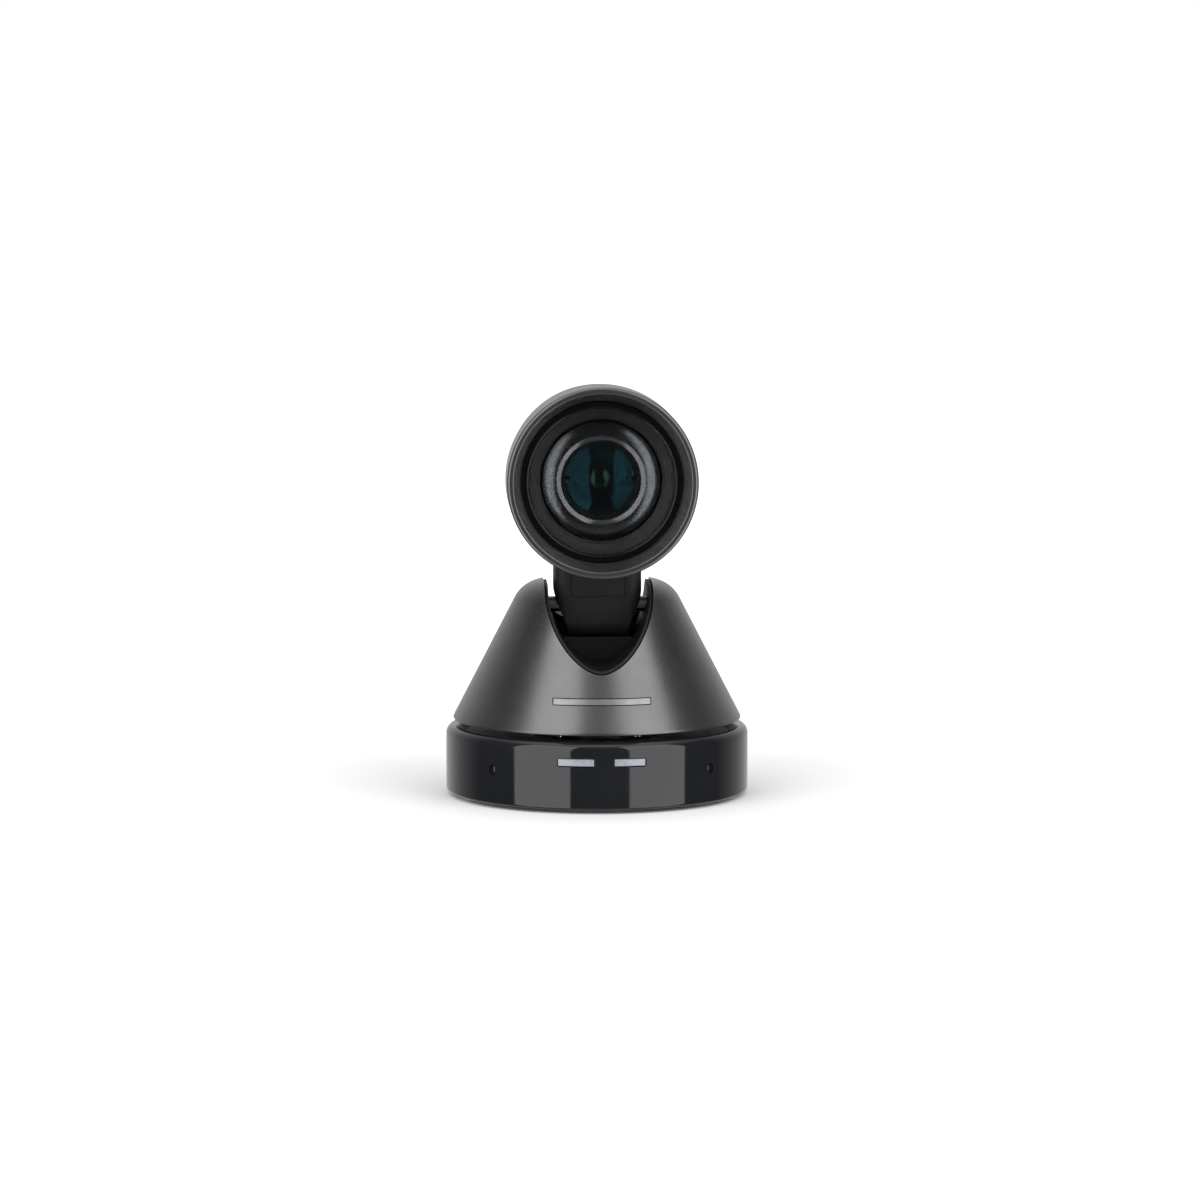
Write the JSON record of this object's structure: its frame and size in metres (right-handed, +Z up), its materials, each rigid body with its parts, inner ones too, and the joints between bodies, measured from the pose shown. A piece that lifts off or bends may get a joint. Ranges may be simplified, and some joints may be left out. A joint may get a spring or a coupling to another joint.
{
  "type": "ptz camera",
  "caption": "Compact pan-tilt-zoom camera: round base with rear connectors, conical pan housing and a drum head on a tilting neck.",
  "frame": {"origin": "on the pan axis, in the plane of the rubber feet that the camera stands on", "axes": "+Z up along the pan axis, the lens faces -Y at rest, +X is to the right of someone who faces the lens"},
  "size_m": [0.118, 0.118, 0.1612],
  "materials": {
    "housing_grey": "satin gunmetal",
    "band_gloss": "high gloss",
    "matt_black": "fine matt texture",
    "connector_black": "matt",
    "motor_black": "black coated",
    "steel": "zinc plated",
    "aluminium": "cast and machined",
    "brass": "machined",
    "rubber": "matt",
    "acetal": "natural white",
    "circuit_green": "solder mask",
    "port_metal": "tin plated",
    "ir_window": "dark infrared filter",
    "status_white": "back-lit diffuser",
    "name_bar_silver": "satin, blank",
    "front_glass": "clear, coated",
    "coated_glass": "blue-green coating"
  },
  "bodies": {
    "base": {"base_ring": "band_gloss", "base_plate": "matt_black", "tripod_bush": "brass", "main_board": "circuit_green", "io_panel": "matt_black", "pan_spindle": "aluminium", "pan_gear": "acetal", "rubber_foot_1": "rubber", "rubber_foot_2": "rubber", "rubber_foot_3": "rubber", "rubber_foot_4": "rubber", "base_screw_1": "steel", "base_screw_2": "steel", "base_screw_3": "steel", "base_screw_4": "steel", "dc_jack": "connector_black", "serial_port": "port_metal", "usb_port": "port_metal", "hdmi_port": "port_metal", "lan_port": "port_metal", "status_light_left": "status_white", "status_light_right": "status_white", "ir_window_left": "ir_window", "ir_window_right": "ir_window"},
    "pan_head": {"pan_housing": "housing_grey", "slot_liner": "matt_black", "name_bar": "name_bar_silver", "pan_platform": "aluminium", "pan_bush": "brass", "pan_retainer": "steel", "tilt_bracket_left": "steel", "tilt_bracket_right": "steel", "tilt_bush_left": "brass", "tilt_bush_right": "brass", "pan_motor": "motor_black", "tilt_motor": "motor_black"},
    "pan_drive_pinion": {"pan_pinion": "brass"},
    "tilt_drive_pinion": {"tilt_pinion": "brass"},
    "camera_head": {"tilt_arm": "matt_black", "tilt_shaft": "steel", "tilt_gear": "acetal", "head_shell": "housing_grey", "head_rear_cap": "housing_grey", "front_trim_ring": "matt_black", "front_glass": "front_glass", "lens_baffle": "matt_black", "lens_barrel": "motor_black", "front_element": "coated_glass", "guide_rod_left": "steel", "guide_rod_right": "steel", "zoom_block_case": "motor_black", "sensor_board": "circuit_green", "processor_board": "circuit_green", "head_chassis": "aluminium"},
    "zoom_group": {"zoom_lens_group": "motor_black"},
    "focus_group": {"focus_lens_group": "motor_black"}
  },
  "joints": [
    {"name": "pan", "type": "hinge", "parent": "base", "child": "pan_head", "pos_m": [0, 0, 0.03], "axis": [0, 0, 1], "range_deg": [-170, 170]},
    {"name": "pan_pinion_spin", "type": "hinge", "parent": "pan_head", "child": "pan_drive_pinion", "pos_m": [0, 0.032, 0.03], "axis": [0, 0, 1], "range_deg": [-745, 745]},
    {"name": "tilt", "type": "hinge", "parent": "pan_head", "child": "camera_head", "pos_m": [0, 0, 0.074], "axis": [-1, 0, 0], "range_deg": [-30, 30]},
    {"name": "tilt_pinion_spin", "type": "hinge", "parent": "pan_head", "child": "tilt_drive_pinion", "pos_m": [0.0229, 0, 0.045], "axis": [-1, 0, 0], "range_deg": [-120, 120]},
    {"name": "zoom", "type": "slide", "parent": "camera_head", "child": "zoom_group", "axis": [0, -1, 0], "range_m": [-0.008, 0]},
    {"name": "focus", "type": "slide", "parent": "camera_head", "child": "focus_group", "axis": [0, -1, 0], "range_m": [0, 0.004]}
  ],
  "couplings": [
    {"joint": "pan_pinion_spin", "follows": "pan", "ratio": 4.3333},
    {"joint": "tilt_pinion_spin", "follows": "tilt", "ratio": -3.8333}
  ]
}
